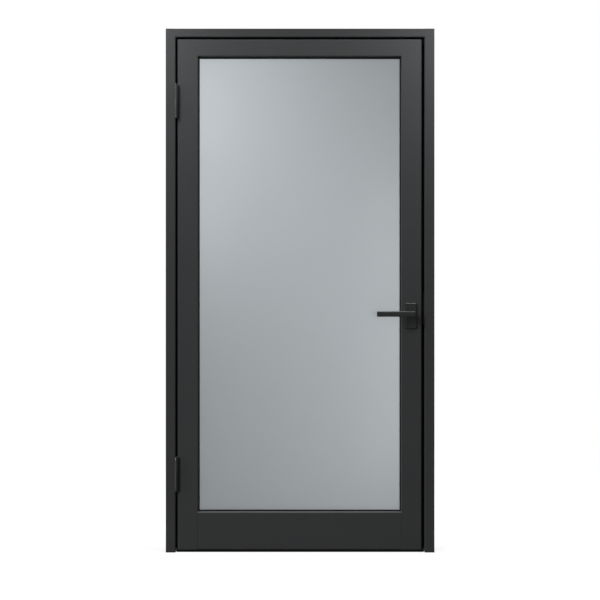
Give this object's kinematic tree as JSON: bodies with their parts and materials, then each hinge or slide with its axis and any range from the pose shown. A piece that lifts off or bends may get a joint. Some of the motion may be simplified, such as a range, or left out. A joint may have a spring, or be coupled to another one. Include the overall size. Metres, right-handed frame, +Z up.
{
  "type": "glass door",
  "caption": "Hinged single-leaf door of dark aluminium profiles with a full satin glass pane, lever latch, lift-off hinges and a three-sided frame with stop seals.",
  "frame": {"origin": "on the floor, at the middle of the frame's width and of the leaf's thickness", "axes": "+X from the hinges to the lock, +Y from the front face to the back, +Z up"},
  "size_m": [1.1, 0.18, 2.144],
  "materials": {
    "charcoal_profile": "satin powder coat",
    "charcoal_hardware": "satin powder coat",
    "satin_glass": "satin",
    "black_rubber": "matte",
    "black_plastic": "matte",
    "stainless_steel": "satin",
    "mill_aluminium": "satin"
  },
  "bodies": {
    "frame": {"frame_hinge_jamb": "charcoal_profile", "frame_lock_jamb": "charcoal_profile", "frame_head": "charcoal_profile", "frame_corner_screws": "stainless_steel", "stop_seal_hinge_side": "black_rubber", "stop_seal_lock_side": "black_rubber", "stop_seal_head": "black_rubber", "strike_keep": "charcoal_hardware", "strike_screws": "charcoal_hardware", "top_hinge_frame_half": "charcoal_hardware", "bottom_hinge_frame_half": "charcoal_hardware", "top_hinge_pin": "stainless_steel", "bottom_hinge_pin": "stainless_steel", "hinge_washers": "black_plastic", "hinge_frame_screws": "stainless_steel", "jamb_backing_plates": "stainless_steel"},
    "leaf": {"hinge_stile": "charcoal_profile", "lock_stile": "charcoal_profile", "top_rail": "charcoal_profile", "bottom_rail": "charcoal_profile", "top_rail_cleats": "mill_aluminium", "bottom_rail_cleats": "mill_aluminium", "rail_bolts": "stainless_steel", "stile_end_caps": "black_plastic", "glass_pane": "satin_glass", "front_glazing_gasket": "black_rubber", "back_glazing_gasket": "black_rubber", "glazing_bead_top": "charcoal_profile", "glazing_bead_bottom": "charcoal_profile", "glazing_bead_hinge_side": "charcoal_profile", "glazing_bead_lock_side": "charcoal_profile", "setting_blocks": "black_plastic", "bottom_seal_carrier": "black_plastic", "bottom_seal_blades": "black_rubber", "top_hinge_leaf_half": "charcoal_hardware", "bottom_hinge_leaf_half": "charcoal_hardware", "hinge_leaf_screws": "stainless_steel", "stile_backing_plates": "stainless_steel", "lock_case": "stainless_steel", "lock_cover": "stainless_steel", "lock_forend": "charcoal_hardware", "forend_screws": "charcoal_hardware", "latch_spring": "stainless_steel", "follower_spring": "stainless_steel", "front_plate_base": "black_plastic", "front_plate_cover": "charcoal_hardware", "back_plate_base": "black_plastic", "back_plate_cover": "charcoal_hardware", "plate_bolts": "stainless_steel", "front_lever_bush": "black_plastic", "back_lever_bush": "black_plastic"},
    "handle": {"front_lever": "charcoal_hardware", "back_lever": "charcoal_hardware", "spindle": "stainless_steel", "follower": "stainless_steel", "lever_grub_screws": "stainless_steel"},
    "latch": {"latch_bolt": "charcoal_hardware"}
  },
  "joints": [
    {"name": "leaf_swing", "type": "hinge", "parent": "frame", "child": "leaf", "pos_m": [-0.5055, -0.036, 1.0835], "axis": [0, 0, -1], "range_deg": [0, 170]},
    {"name": "lever_turn", "type": "hinge", "parent": "leaf", "child": "handle", "pos_m": [0.453, 0, 0.977], "axis": [0, -1, 0], "range_deg": [0, 40], "stiffness_Nm_per_rad": 1.5, "springref_deg": -34.38, "deforming": ["follower_spring"]},
    {"name": "latch_slide", "type": "slide", "parent": "leaf", "child": "latch", "axis": [-1, 0, 0], "range_m": [0, 0.0115], "deforming": ["latch_spring"]}
  ],
  "couplings": [
    {"joint": "latch_slide", "follows": "lever_turn", "m_per_rad": 0.01647}
  ]
}
